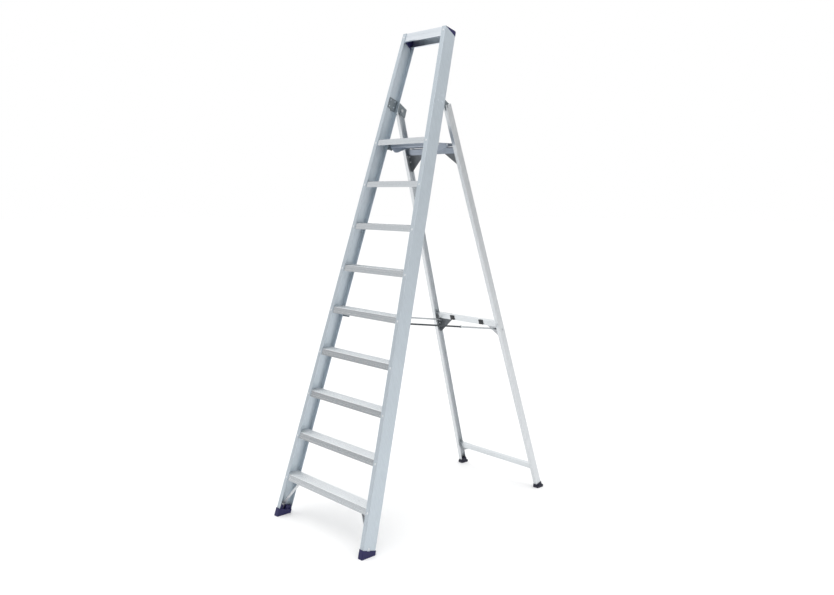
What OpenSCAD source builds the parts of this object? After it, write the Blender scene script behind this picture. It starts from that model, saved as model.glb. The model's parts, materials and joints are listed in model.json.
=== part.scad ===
// Aluminium platform step ladder with nine treads, a high handrail, a folding
// rear frame, a lifting platform and two-link stays.
//
// X is across the ladder, the climber faces +Y and Z is up from the floor.
// Two slanted frames do most of the work:
//   front frame: w is the depth behind the stiles' front faces, u runs up the stiles
//   rear frame:  q is the depth from the legs' middle, s runs down from the hinge
// Each side's parts are modelled for +X and mirrored for the left.

/* [Stiles] */
// Backward lean of the stiles from upright, degrees
stile_lean = 16; // [13:0.5:19]
// Outside width over the stiles at floor level
base_w = 836; // [690:1:1010]
// Outside width over the stiles at the handrail
top_w = 366; // [345:1:440]
// Height of the stiles' front top corner
top_h = 2890; // [2700:1:3500]
// Depth of the stile section, front to back
stile_depth = 88; // [74:1:106]
// Width of the stile flanges
stile_flange = 30; // [27:0.5:36]
// Wall of the stile section
stile_wall = 3; // [2.5:0.1:3.6]
// Radius on the stiles' outer corners
stile_round = 2.5; // [1:0.1:4]
// Slope of the cut across the stile tops
top_cut = 20; // [12:1:24]

/* [Treads] */
// Height from one tread to the next
tread_rise = 250; // [208:1:262]
// Height of the tread's front skirt
tread_skirt = 33; // [27:1:40]
// Height of the tread's rear skirt
tread_rear_skirt = 26; // [21:1:32]
// Wall of the tread extrusion
tread_wall = 2.4; // [2:0.1:3]
// Height of the anti-slip ribs
rib_h = 1.4; // [0.8:0.1:2]
// Width of the anti-slip ribs
rib_w = 3.6; // [2.5:0.1:5]
// Number of anti-slip ribs on a tread
rib_count = 8; // [5:1:9]

/* [Handrail] */
// Height of the handrail's front face
rail_h = 50; // [44:1:66]
// Depth of the moulded lining below the cut of each stile
cap_skirt = 32; // [24:1:40]
// Thickness of the moulded lining
cap_wall = 5; // [4:0.5:7]
// Radius on the rear corner of the caps
cap_round = 9; // [5:1:12]

/* [Rear frame] */
// Height of the hinge above the floor
hinge_h = 2432; // [2392:1:2560]
// Backward lean of the rear legs from upright, degrees
rear_lean = 17; // [14:0.5:20]
// Outside width over the rear legs at floor level
rear_base_w = 716; // [640:1:860]
// How far the legs' outer faces stand outside the stiles' at the hinge
leg_outset = 4.4; // [3:0.1:6]
// Depth of the leg section, front to back
leg_depth = 44; // [38:1:52]
// Width of the leg flanges
leg_flange = 25; // [20:0.5:30]
// Wall of the leg section
leg_wall = 2.5; // [2:0.1:3]
// Gap between stile and leg when folded
fold_gap = 8; // [7:0.5:14]

/* [Braces] */
// Height of the upper brace's top
upper_brace_h = 2200; // [2190:1:2206]
// Height of the middle brace's top
mid_brace_h = 1135; // [1120:1:1300]
// Height of the lower brace's top
lower_brace_h = 158; // [150:1:300]
// Height of the brace section
brace_tall = 35; // [30:1:42]
// Depth of the brace section
brace_deep = 20; // [16:1:22]
// Wall of the braces and thickness of the gusset plates
brace_wall = 2; // [1.6:0.1:2.5]
// How far the upper and middle gussets reach in from the leg
gusset_reach = 146; // [120:1:170]
// How far the upper and middle gussets hang below their brace
gusset_drop = 110; // [90:1:120]
// How far the lower gussets reach in from the leg
low_gusset_reach = 108; // [90:1:130]
// How far the lower gussets hang below their brace
low_gusset_drop = 40; // [33:1:48]
// Distance of the moulded pads from the middle
clip_x = 128; // [110:1:150]
// Width of a moulded pad
clip_w = 32; // [26:1:40]

/* [Platform] */
// Width of the platform deck, without its cheeks
deck_w = 368; // [300:1:368]
// How far the platform deck lies below the top tread
deck_drop = 27; // [26:0.5:28]
// Thickness of the platform deck
deck_t = 15; // [14:0.5:15]
// Wall of the platform deck
deck_wall = 2.5; // [2:0.1:3]
// Thickness of the platform cheeks
cheek_t = 3; // [2.5:0.1:4]
// Radius of the platform pins
deck_pin_r = 4; // [3:0.1:4.5]

/* [Stays] */
// Height of the stays' front pivots
stay_front_h = 1203; // [1190:1:1300]
// Height of the stays' rear pivots
stay_rear_h = 1087; // [1050:1:1088]
// Width of the stay bars
stay_w = 10; // [9:0.5:14]
// Thickness of the stay bars
stay_t = 4; // [3:0.1:5]
// How far the stays' split plane stands inside the stile flanges' tips
stay_inset = 33; // [32:0.5:36]

/* [Feet] */
// Wall of the boots around stile and leg
boot_wall = 3; // [2.5:0.1:4]
// How far the front boots reach up around the stiles
boot_grip = 15; // [12:1:20]
// How far the front boots' inner blocks rise above their rims
boot_rise = 22; // [16:1:28]
// Height of the rear feet's base
sole_h = 14; // [10:1:18]
// Flare of the rear feet's base beyond the leg
sole_flare = 5; // [3:1:8]

/* [Fasteners] */
// Shank radius of the rivets
rivet_r = 3; // [2.4:0.1:3.2]
// Head radius of the rivets
rivet_head_r = 6; // [5:0.1:6.5]
// Head height of the rivets
rivet_head_h = 2; // [1.5:0.1:2.5]
// Shank radius of the hinge bolts
bolt_r = 6; // [5:0.1:7]
// Thickness of the steel plates and brackets
plate_t = 4; // [3:0.1:4.5]
// Shank radius of the stay pivots
pivot_r = 4; // [3:0.1:4.5]

/* [Fits] */
// Radial clearance of a pin that turns in its hole
run_fit = 0.05; // [0.02:0.01:0.09]
// Radial clearance of a rivet in its hole
rivet_fit = 0.05; // [0.02:0.01:0.1]
// Clearance between pieces that are put together end to end
end_fit = 0.3; // [0.2:0.05:0.5]
// Gap between two links that pass one another
link_gap = 0.3; // [0.2:0.05:0.5]

/* [Hidden] */

LEFT = -1;
RIGHT = 1;
tread_count = 9;
round_fn = 48;
rivet_fn = 20;
far = 4000;

// Front frame
top_u = top_h / cos(stile_lean);
stile_k = (base_w - top_w) / 2 / top_u;
stile_taper = atan(stile_k);

// Plane of the front frame that stands w behind the stiles' front faces
function front_y(w, u) = w * cos(stile_lean) + u * sin(stile_lean);
function front_z(w, u) = -w * sin(stile_lean) + u * cos(stile_lean);
// World depth and stile height of a point w behind the front faces at height z
function y_at(w, z) = (w + z * sin(stile_lean)) / cos(stile_lean);
function u_at(w, z) = (z + w * sin(stile_lean)) / cos(stile_lean);
// Half width over the stiles' outer faces, and between their webs
function stile_half(u) = base_w / 2 - stile_k * u;
function web_half(u) = stile_half(u) - stile_wall / cos(stile_taper);
function tip_half(u) = stile_half(u) - stile_flange / cos(stile_taper);
function cut_u(w) = top_u - w * tan(top_cut);

// Hinge
hinge_w = stile_depth + fold_gap + leg_depth / 2;
hinge_u = u_at(hinge_w, hinge_h);
hinge_y = front_y(hinge_w, hinge_u);

// Rear frame
rear_top_w = 2 * (stile_half(hinge_u) + leg_outset);
leg_len = hinge_h / cos(rear_lean);
leg_k = (rear_base_w - rear_top_w) / 2 / leg_len;
leg_taper = atan(leg_k);
leg_top_over = 10;
fold_angle = stile_lean + rear_lean;
function leg_half(s) = rear_top_w / 2 + leg_k * s;
function leg_web_half(s) = leg_half(s) - leg_wall / cos(leg_taper);
function leg_tip_half(s) = leg_half(s) - leg_flange / cos(leg_taper);
function rear_y(q, s) = hinge_y + s * sin(rear_lean) + q * cos(rear_lean);
function rear_z(q, s) = hinge_h - s * cos(rear_lean) + q * sin(rear_lean);
function s_at(q, z) = (hinge_h + q * sin(rear_lean) - z) / cos(rear_lean);
gusset_q = leg_depth / 2 - leg_wall - brace_wall;
brace_q = gusset_q - brace_deep;
upper_s = s_at(0, upper_brace_h);
mid_s = s_at(0, mid_brace_h);
lower_s = s_at(0, lower_brace_h);

// Feet
sole_min = 9;
stile_foot_u = u_at(stile_depth, sole_min);
boot_rim_u = stile_foot_u + boot_grip;
foot_rivet_u = boot_rim_u + 8;
foot_rivet_w = stile_depth * 0.42;
leg_foot_s = s_at(-leg_depth / 2, sole_h - 6);
rear_rim_s = leg_foot_s - 18;
rear_sole_y = rear_y(0, s_at(0, 0));
rear_sole_d = leg_depth / cos(rear_lean) + 2 * (boot_wall + sole_flare);

// The origin is the middle of the floor area between the outermost edges
front_edge_y = -boot_wall / cos(stile_lean);
rear_edge_y = rear_sole_y + rear_sole_d / 2;
origin_y = (front_edge_y + rear_edge_y) / 2;

// Platform
deck_top = tread_count * tread_rise - deck_drop;
deck_pin_drop = 12;
deck_pin_w = stile_depth + deck_pin_drop + rib_h + 1.5;
deck_pin_z = deck_top - deck_pin_drop;
deck_pin_y = y_at(deck_pin_w, deck_pin_z);
deck_front_y = y_at(stile_depth - stile_wall, deck_top) + 3;
hook_clear = 1;
hook_y = rear_y(leg_depth / 2 + hook_clear, s_at(leg_depth / 2, upper_brace_h));
hook_t = 5;
hook_drop = 14;
deck_rear_y = hook_y;
hook_z = rear_z(leg_depth / 2, upper_s) + hook_clear;
cheek_x = deck_w / 2;
deck_ear_x = cheek_x + cheek_t + 5;

// Stays: front pivot on the stile, rear pivot on the leg, knuckle between them
stay_front_w = stile_depth + 13;
stay_front_u = u_at(stay_front_w, stay_front_h);
stay_plane_x = tip_half(stay_front_u) - stay_inset;
stay_rear_q = 7;
stay_rear_s = s_at(stay_rear_q, stay_rear_h);
stay_a = [front_y(stay_front_w, stay_front_u), stay_front_h];
stay_b = [rear_y(stay_rear_q, stay_rear_s), stay_rear_h];
stay_span = norm(stay_b - stay_a);
// Places of the pivots when folded, in the front frame's w and u
stay_fold = [hinge_w + stay_rear_q - stay_front_w, hinge_u - stay_rear_s - stay_front_u];
stay_fold_gap = norm(stay_fold);
stay_front_len = (stay_span - stay_fold.y) / 2;
stay_rear_len = stay_span - stay_front_len;
stay_slope = atan2(stay_b.y - stay_a.y, stay_b.x - stay_a.x);
stay_knuckle = stay_a + stay_front_len * [cos(stay_slope), sin(stay_slope)];
stay_eye_r = stay_w / 2 + 3;
stay_front_x = stay_plane_x - link_gap / 2 - stay_t;
stay_rear_x = stay_plane_x + link_gap / 2;

// ---------------------------------------------------------------- placing

module in_front_frame() {
    translate([0, -origin_y, 0]) rotate([-stile_lean, 0, 0]) children();
}

module in_rear_frame() {
    translate([0, hinge_y - origin_y, hinge_h]) rotate([rear_lean, 0, 0]) mirror([0, 0, 1]) children();
}

module upright() {
    translate([0, -origin_y, 0]) children();
}

module on_side(side) {
    if (side == LEFT) mirror([1, 0, 0]) children();
    else children();
}

// Along +X from a flat outline in the frame's depth and height
module across(len) {
    rotate([90, 0, 90]) linear_extrude(height = len) children();
}

// Between the webs of the stiles, less a gap at each end
module between_stiles(gap) {
    translate([0, stile_depth + far / 2, 0]) rotate([90, 0, 0])
        linear_extrude(height = far)
            polygon([
                [-web_half(0) + gap, 0], [web_half(0) - gap, 0],
                [web_half(top_u) - gap, top_u], [-web_half(top_u) + gap, top_u]
            ]);
}

// Between the webs of the rear legs, less a gap at each end
module between_legs(gap) {
    translate([0, far / 2, 0]) rotate([90, 0, 0])
        linear_extrude(height = far)
            polygon([
                [-leg_web_half(0) + gap, 0], [leg_web_half(0) - gap, 0],
                [leg_web_half(leg_len) - gap, leg_len], [-leg_web_half(leg_len) + gap, leg_len]
            ]);
}

// ---------------------------------------------------------------- shared shapes

// Channel section, web along x = 0, open towards -x
module channel_2d(flange, depth, wall, corner) {
    difference() {
        union() {
            translate([-flange, 0]) square([flange - corner, depth]);
            translate([-flange, corner]) square([flange, depth - 2 * corner]);
            for (y = [corner, depth - corner]) translate([-corner, y]) circle(corner, $fn = 24);
        }
        translate([-flange - 1, wall]) square([flange + 1 - wall, depth - 2 * wall]);
    }
}

// Rectangle with round corners
module rounded_2d(size, r) {
    translate([r, 0]) square([size.x - 2 * r, size.y]);
    translate([0, r]) square([size.x, size.y - 2 * r]);
    for (x = [r, size.x - r], y = [r, size.y - r]) translate([x, y]) circle(r, $fn = 24);
}

// Rivet along +Z: head below z = 0, shank through grip, set tail above it
module rivet(grip, r = rivet_r, head_r = rivet_head_r, head_h = rivet_head_h) {
    rotate_extrude($fn = rivet_fn)
        polygon([
            [0, -head_h], [head_r * 0.55, -head_h], [head_r * 0.9, -head_h * 0.5], [head_r, 0],
            [r, 0], [r, grip], [r * 1.5, grip], [r * 1.35, grip + r * 0.6], [0, grip + r * 0.6]
        ]);
}

module rivet_hole(grip, r = rivet_r) {
    translate([0, 0, -1]) cylinder(h = grip + 2, r = r + rivet_fit, $fn = rivet_fn);
}

// Flat bar with round eyes between two points, extruded along +Z
module eye_bar(a, b, width, eye_r, thick, hole_r) {
    linear_extrude(height = thick) {
        difference() {
            union() {
                translate(a) rotate(atan2(b.y - a.y, b.x - a.x))
                    translate([0, -width / 2]) square([norm(b - a), width]);
                for (p = [a, b]) translate(p) circle(eye_r, $fn = round_fn);
            }
            for (p = [a, b]) translate(p) circle(hole_r, $fn = round_fn);
        }
    }
}

// ---------------------------------------------------------------- rivet places

// Flange rivets: across at the middle of the flange, along w from the front face
module at_tread_rivets(n, rear) {
    z = n * tread_rise - (rear ? tread_rear_skirt : tread_skirt) * 0.55;
    w = rear ? stile_depth : 0;
    u = u_at(w, z);
    translate([(stile_half(u) + tip_half(u)) / 2, w, u]) rotate([rear ? 90 : -90, 0, 0]) children();
}

module at_rail_rivets(rear) {
    w = rear ? stile_depth : 0;
    u = rear ? cut_u(stile_depth) - 8 : top_u - rail_h * 0.5;
    translate([(stile_half(u) + tip_half(u)) / 2, w, u]) rotate([rear ? 90 : -90, 0, 0]) children();
}

module at_foot_rivet() {
    translate([stile_half(foot_rivet_u), foot_rivet_w, foot_rivet_u])
        rotate([0, -stile_taper, 0]) rotate([0, -90, 0]) children();
}

// Rivets of the hinge plates through the stile webs
hinge_rivet_w = [stile_depth * 0.39, stile_depth * 0.77];
hinge_rivet_du = [6, 42];
module at_hinge_rivets() {
    for (w = hinge_rivet_w, du = hinge_rivet_du)
        translate([stile_half(hinge_u + du), w, hinge_u + du])
            rotate([0, -stile_taper, 0]) rotate([0, -90, 0]) children();
}

// Rivets of the brackets that sit on the stiles' rear flanges
module at_back_rivet(u) {
    translate([(stile_half(u) + tip_half(u)) / 2, stile_depth + bracket_t, u]) rotate([90, 0, 0]) children();
}

// ---------------------------------------------------------------- stiles

bracket_t = 3;
ear_low = -12;
ear_tall = 55;
deck_bracket_u = u_at(deck_pin_w, deck_pin_z);
deck_bracket_tall = 54;
stay_bracket_tall = 40;
ear_rivet_u = [hinge_u + 2, hinge_u + 30];
// The upper rivet of each platform bracket also holds the top tread
deck_low_rivet_u = [deck_bracket_u - 11];
deck_high_rivet_u = [u_at(stile_depth, tread_count * tread_rise - tread_rear_skirt * 0.55)];
stay_rivet_u = [stay_front_u - 11, stay_front_u + 11];
slot_fit = 0.5;

// Hinge plate's inner face, measured from the stile's outer face
plate_in = stile_wall + plate_t;

module stile() {
    difference() {
        intersection() {
            translate([base_w / 2, 0, 0]) rotate([0, -stile_taper, 0])
                translate([0, 0, -100]) linear_extrude(height = top_u + 200)
                    channel_2d(stile_flange, stile_depth, stile_wall, stile_round);
            across(base_w)
                polygon([
                    [-1, stile_foot_u], [stile_depth + 1, stile_foot_u],
                    [stile_depth + 1, cut_u(stile_depth + 1)], [-1, cut_u(-1)]
                ]);
        }
        for (n = [1:tread_count]) {
            at_tread_rivets(n, false) rivet_hole(stile_wall + tread_wall);
            if (n < tread_count) at_tread_rivets(n, true) rivet_hole(stile_wall + tread_wall);
        }
        at_rail_rivets(false) rivet_hole(stile_wall + tread_wall);
        at_rail_rivets(true) rivet_hole(stile_wall + tread_wall);
        at_foot_rivet() rivet_hole(stile_wall + plate_t);
        at_hinge_rivets() rivet_hole(stile_wall + plate_t);
        for (u = concat(ear_rivet_u, deck_low_rivet_u, deck_high_rivet_u, stay_rivet_u))
            at_back_rivet(u) rivet_hole(bracket_t + stile_wall);
        // Slot in the rear flange for the hinge plate
        translate([stile_half(hinge_u), stile_depth - stile_wall - 1, hinge_u])
            rotate([0, -stile_taper, 0])
                translate([-plate_in - slot_fit, 0, -plate_neck - slot_fit])
                    cube([plate_t + 2 * slot_fit, stile_wall + 2, 2 * plate_neck + 2 * slot_fit]);
    }
}

module stile_left() color("#c6cace") in_front_frame() on_side(LEFT) stile();
module stile_right() color("#c6cace") in_front_frame() on_side(RIGHT) stile();

// ---------------------------------------------------------------- treads

function tread_point(w, z) = [y_at(w, z), z];

// Section of a tread with its top at height z, slanted like the stiles
module tread_2d(z) {
    a = stile_wall;
    b = stile_depth - stile_wall;
    t = tread_wall;
    lip = 9;
    groove_z = z - tread_skirt * 0.62;
    pitch = (y_at(b, z) - y_at(a, z) - 12) / rib_count;
    polygon([
        tread_point(b, z), tread_point(a, z),
        tread_point(a, groove_z + 1.2), tread_point(a + 1, groove_z + 1.2),
        tread_point(a + 1, groove_z - 1.2), tread_point(a, groove_z - 1.2),
        tread_point(a, z - tread_skirt), tread_point(a + lip, z - tread_skirt),
        tread_point(a + lip, z - tread_skirt + t), tread_point(a + t, z - tread_skirt + t),
        tread_point(a + t, z - t), tread_point(b - t, z - t),
        tread_point(b - t, z - tread_rear_skirt + t), tread_point(b - lip, z - tread_rear_skirt + t),
        tread_point(b - lip, z - tread_rear_skirt), tread_point(b, z - tread_rear_skirt)
    ]);
    for (i = [0:rib_count - 1])
        translate([y_at(a, z) + 6 + (i + 0.5) * pitch - rib_w / 2, z - 0.1]) square([rib_w, rib_h + 0.1]);
}

module tread(n) {
    z = n * tread_rise;
    color("#bfc4c8")
        difference() {
            intersection() {
                upright() translate([-base_w / 2, 0, 0]) across(base_w) tread_2d(z);
                in_front_frame() between_stiles(end_fit);
            }
            for (side = [LEFT, RIGHT]) in_front_frame() on_side(side) {
                at_tread_rivets(n, false) rivet_hole(stile_wall + tread_wall);
                if (n < tread_count) at_tread_rivets(n, true) rivet_hole(stile_wall + tread_wall);
                if (n == tread_count) at_back_rivet(deck_high_rivet_u[0]) rivet_hole(bracket_t + stile_wall + tread_wall);
                if (n == 1) at_knee_tread() {
                    rivet_hole(plate_t + tread_wall);
                    // Ribs milled away around the rivet's tail
                    translate([0, 0, plate_t + tread_wall]) cylinder(h = 6, r = rivet_r * 1.5 + 1, $fn = rivet_fn);
                }
            }
        }
}

// ---------------------------------------------------------------- handrail and caps

module rail_2d() {
    a = stile_wall;
    b = stile_depth - stile_wall;
    t = tread_wall;
    top = top_u - 1.5;
    bottom = top_u - rail_h;
    rear_bottom = cut_u(b) - 28;
    lip = 12;
    groove = top - rail_h * 0.42;
    polygon([
        [a, top], [b - 8, top], [b, top - 8],
        [b, rear_bottom], [b - lip, rear_bottom], [b - lip, rear_bottom + t], [b - t, rear_bottom + t],
        [b - t, top - 9], [b - 9, top - t], [a + t, top - t],
        [a + t, bottom + t], [a + lip, bottom + t], [a + lip, bottom], [a, bottom],
        [a, groove - 1.5], [a + 1, groove - 1.5], [a + 1, groove + 1.5], [a, groove + 1.5]
    ]);
}

// Outline of the rail as a solid bar, which the caps are cut back from
module rail_envelope_2d(gap) {
    a = stile_wall - gap;
    b = stile_depth - stile_wall + gap;
    translate([a, top_u - rail_h - gap]) square([b - a, rail_h + gap + 5]);
}

rail_inset = cap_wall + 2 * end_fit;

module top_rail() {
    color("#c3c8cc") in_front_frame()
        difference() {
            intersection() {
                translate([-base_w / 2, 0, 0]) across(base_w) rail_2d();
                between_stiles(rail_inset);
            }
            for (side = [LEFT, RIGHT]) on_side(side) {
                at_rail_rivets(false) rivet_hole(stile_wall + tread_wall);
                at_rail_rivets(true) rivet_hole(stile_wall + tread_wall);
            }
        }
}

// Moulded cap: a wedge above the cut and a lining on the web below it
module top_cap() {
    r = cap_round;
    d = stile_depth;
    difference() {
        union() {
            // Wedge that squares the stile's end up, round at the rear
            intersection() {
                translate([base_w / 2, 0, 0]) rotate([0, -stile_taper, 0]) translate([-stile_flange, 0, 0])
                    linear_extrude(height = top_u + 100) square([stile_flange, stile_depth]);
                across(base_w) {
                    difference() {
                        polygon([[0, top_u], [d, top_u], [d, cut_u(d)], [0, cut_u(0)]]);
                        difference() {
                            translate([d - r, top_u - r]) square([r + 1, r + 1]);
                            translate([d - r, top_u - r]) circle(r, $fn = round_fn);
                        }
                    }
                }
            }
            // Lining that plugs into the channel
            intersection() {
                translate([base_w / 2, 0, 0]) rotate([0, -stile_taper, 0])
                    translate([-stile_wall - end_fit / 2 - cap_wall, stile_wall + end_fit / 2, 0])
                        linear_extrude(height = top_u + 100)
                            square([cap_wall, stile_depth - 2 * stile_wall - end_fit]);
                across(base_w)
                    polygon([
                        [0, cut_u(0) - cap_skirt], [d, cut_u(d) - cap_skirt], [d, cut_u(d) + 1], [0, cut_u(0) + 1]
                    ]);
            }
        }
        intersection() {
            translate([-base_w / 2, 0, 0]) across(base_w) rail_envelope_2d(end_fit / 2);
            between_stiles(cap_wall + end_fit);
        }
        at_rail_rivets(true) cylinder(h = stile_wall + 3 * rivet_r, r = rivet_r * 1.5 + end_fit, $fn = rivet_fn);
        at_rail_rivets(false) cylinder(h = stile_wall + 3 * rivet_r, r = rivet_r * 1.5 + end_fit, $fn = rivet_fn);
    }
}

module top_cap_left() color("#1d2550") in_front_frame() on_side(LEFT) top_cap();
module top_cap_right() color("#1d2550") in_front_frame() on_side(RIGHT) top_cap();

// ---------------------------------------------------------------- knee braces

knee_w = 20;
knee_x = 250;
knee_tab = 30;
knee_y = y_at(stile_depth / 2, tread_rise);
knee_top_z = tread_rise - tread_wall - plate_t;

// Rivet from the tread's underside, upright, through strap and tread top
module at_knee_tread() {
    rotate([stile_lean, 0, 0])
        translate([knee_x, knee_y, knee_top_z]) children();
}

module knee_low_tab(len) {
    translate([stile_half(foot_rivet_u), foot_rivet_w - knee_w / 2, foot_rivet_u])
        rotate([0, -stile_taper, 0])
            translate([-stile_wall - plate_t, 0, -knee_w / 2]) cube([plate_t, knee_w, len]);
}

module knee_high_tab(from, to) {
    rotate([stile_lean, 0, 0])
        translate([from, knee_y - knee_w / 2, knee_top_z]) cube([to - from, knee_w, plate_t]);
}

module knee_brace() {
    difference() {
        union() {
            knee_low_tab(knee_tab);
            knee_high_tab(knee_x - knee_w / 2, knee_x + knee_w);
            hull() {
                intersection() {
                    knee_low_tab(knee_tab);
                    translate([0, 0, foot_rivet_u - knee_w / 2 + knee_tab - 1]) cube([far, far, 1]);
                }
                knee_high_tab(knee_x + knee_w - 2, knee_x + knee_w);
            }
        }
        at_foot_rivet() rivet_hole(stile_wall + plate_t);
        at_knee_tread() rivet_hole(plate_t + tread_wall);
    }
}

module knee_brace_left() color("#cfd2d4") in_front_frame() on_side(LEFT) knee_brace();
module knee_brace_right() color("#cfd2d4") in_front_frame() on_side(RIGHT) knee_brace();

// ---------------------------------------------------------------- rivets of the front frame

module frame_rivets() {
    color("#d9dcde") in_front_frame()
        for (side = [LEFT, RIGHT]) on_side(side) {
            for (n = [1:tread_count]) {
                at_tread_rivets(n, false) rivet(stile_wall + tread_wall);
                if (n < tread_count) at_tread_rivets(n, true) rivet(stile_wall + tread_wall);
            }
            at_rail_rivets(false) rivet(stile_wall + tread_wall);
            at_rail_rivets(true) rivet(stile_wall + tread_wall);
            at_foot_rivet() rivet(stile_wall + plate_t);
            at_knee_tread() rivet(plate_t + tread_wall, rivet_r, rivet_head_r, rivet_head_h);
        }
}

// ---------------------------------------------------------------- front feet

module front_foot() {
    w = boot_wall;
    inner = boot_rim_u + boot_rise;
    slot = knee_w / 2 + 1.5;
    difference() {
        union() {
            // Cup around the foot of the stile
            intersection() {
                translate([base_w / 2, 0, 0]) rotate([0, -stile_taper, 0]) translate([w - stile_flange - 2 * w, -w, -60])
                    linear_extrude(height = 60 + boot_rim_u + 20)
                        rounded_2d([stile_flange + 2 * w, stile_depth + 2 * w], 4);
                translate([0, -far / 2, -far + boot_rim_u]) cube([far, far, far]);
            }
            // Blocks that rise inside the channel, either side of the knee brace
            intersection() {
                translate([base_w / 2, 0, 0]) rotate([0, -stile_taper, 0])
                    translate([-stile_flange + 4, stile_wall + end_fit, 0])
                        linear_extrude(height = inner + 20)
                            square([stile_flange - 4 - stile_wall - end_fit, stile_depth - 2 * stile_wall - 2 * end_fit]);
                translate([0, -far / 2, 0]) cube([far, far, inner]);
            }
        }
        // Room for the stile
        intersection() {
            translate([base_w / 2, 0, 0]) rotate([0, -stile_taper, 0]) translate([0, 0, -20])
                linear_extrude(height = inner + 60)
                    difference() {
                        translate([-stile_flange - end_fit, -end_fit])
                            square([stile_flange + 2 * end_fit, stile_depth + 2 * end_fit]);
                        translate([-stile_flange - end_fit - 1, stile_wall + end_fit])
                            square([stile_flange + 1 - stile_wall, stile_depth - 2 * stile_wall - 2 * end_fit]);
                    }
            translate([0, -far / 2, stile_foot_u - end_fit]) cube([far, far, far]);
        }
        // Slot for the knee brace and its rivet
        translate([0, foot_rivet_w - slot, foot_rivet_u - knee_w / 2 - 1.5]) cube([far, 2 * slot, far]);
        // Floor line
        rotate([stile_lean, 0, 0]) translate([0, -far / 2, -far]) cube([far, far, far]);
        // Grip grooves across the sole
        rotate([stile_lean, 0, 0])
            for (i = [1:5]) translate([0, i * stile_depth / 6 - 1.5, -1]) cube([far, 3, 3]);
    }
}

module front_foot_left() color("#1b2046") in_front_frame() on_side(LEFT) front_foot();
module front_foot_right() color("#1b2046") in_front_frame() on_side(RIGHT) front_foot();

// ---------------------------------------------------------------- hinge

hinge_eye_r = leg_depth / 2 - leg_wall - 1;
plate_neck = hinge_eye_r - 1;
ear_x = tip_half(hinge_u) + 0.6;
ear_reach = hinge_w + 39;

module hinge_axis() {
    translate([0, hinge_w, hinge_u]) rotate([0, 90, 0]) children();
}

// Plate along the web, out through the rear flange to the hinge bolt
module hinge_plate() {
    difference() {
        translate([stile_half(hinge_u), 0, hinge_u]) rotate([0, -stile_taper, 0])
            translate([-plate_in, 0, 0]) rotate([90, 0, 90]) linear_extrude(height = plate_t) {
                polygon([
                    [stile_depth * 0.22, -3], [stile_depth - stile_wall - 3, -15],
                    [stile_depth - stile_wall - 3, 51], [stile_depth * 0.3, 58]
                ]);
                translate([stile_depth * 0.6, -plate_neck])
                    square([hinge_w - stile_depth * 0.6, 2 * plate_neck]);
                translate([hinge_w, 0]) circle(hinge_eye_r, $fn = round_fn);
            }
        hinge_axis() cylinder(h = far, r = bolt_r + rivet_fit, $fn = round_fn);
        at_hinge_rivets() rivet_hole(stile_wall + plate_t);
    }
}

module hinge_plate_left() color("#6e757b") in_front_frame() on_side(LEFT) hinge_plate();
module hinge_plate_right() color("#6e757b") in_front_frame() on_side(RIGHT) hinge_plate();

// Angle bracket: foot on the rear flange, ear beside the leg
module angle_bracket(ear, u, tall, reach, foot_x) {
    translate([ear, stile_depth, u - tall / 2]) cube([plate_t, reach - stile_depth, tall]);
    translate([ear, stile_depth, u - tall / 2]) cube([foot_x - ear, bracket_t, tall]);
}

module hinge_ear() {
    difference() {
        intersection() {
            union() {
                translate([ear_x, stile_depth, hinge_u + ear_low]) cube([base_w / 2, bracket_t, ear_tall]);
                translate([ear_x, 0, hinge_u]) across(plate_t)
                    polygon([
                        [stile_depth, ear_low], [ear_reach - 3, ear_low - 21], [ear_reach, ear_low - 18],
                        [ear_reach, ear_low + ear_tall - 24], [ear_reach - 3, ear_low + ear_tall - 21],
                        [stile_depth, ear_low + ear_tall]
                    ]);
            }
            // Foot stops short of the stile's outer face
            translate([base_w / 2, 0, 0]) rotate([0, -stile_taper, 0]) translate([-far - plate_in - 1, 0, 0])
                cube([far, far, far]);
        }
        hinge_axis() cylinder(h = far, r = bolt_r + rivet_fit, $fn = round_fn);
        for (u = ear_rivet_u) at_back_rivet(u) rivet_hole(bracket_t + stile_wall);
    }
}

module hinge_ear_left() color("#7b8288") in_front_frame() on_side(LEFT) hinge_ear();
module hinge_ear_right() color("#7b8288") in_front_frame() on_side(RIGHT) hinge_ear();

hinge_head_x = rear_top_w / 2 + 2.5;
hinge_nut_x = ear_x - link_gap;

// Bolt with a low round head outside the leg and a nut inside the ear
module hinge_bolt() {
    hinge_axis() {
        translate([0, 0, hinge_nut_x - 9]) cylinder(h = hinge_head_x - hinge_nut_x + 9, r = bolt_r, $fn = round_fn);
        translate([0, 0, hinge_head_x]) rotate_extrude($fn = round_fn)
            polygon([[0, 0], [bolt_r + 5, 0], [bolt_r + 4, 2.5], [bolt_r, 4], [0, 4.4]]);
        translate([0, 0, hinge_nut_x - 7]) cylinder(h = 7, r = bolt_r + 4.5, $fn = 6);
    }
}

module hinge_bolts() {
    color("#a9adb0") in_front_frame() for (side = [LEFT, RIGHT]) on_side(side) hinge_bolt();
}

// Tube that keeps the ear and the plate apart
module hinge_spacer() {
    from = ear_x + plate_t + 0.1;
    to = stile_half(hinge_u) - plate_in / cos(stile_taper) - 1.3;
    hinge_axis() translate([0, 0, from]) difference() {
        cylinder(h = to - from, r = bolt_r + 3, $fn = round_fn);
        translate([0, 0, -1]) cylinder(h = to - from + 2, r = bolt_r + rivet_fit, $fn = round_fn);
    }
}

module hinge_spacers() {
    color("#9aa0a4") in_front_frame() for (side = [LEFT, RIGHT]) on_side(side) hinge_spacer();
}

// ---------------------------------------------------------------- platform and stay brackets

deck_ear_reach = deck_pin_w + 11;

module foot_limit() {
    translate([base_w / 2, 0, 0]) rotate([0, -stile_taper, 0]) translate([-far - 4, 0, 0]) cube([far, far, far]);
}

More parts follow.
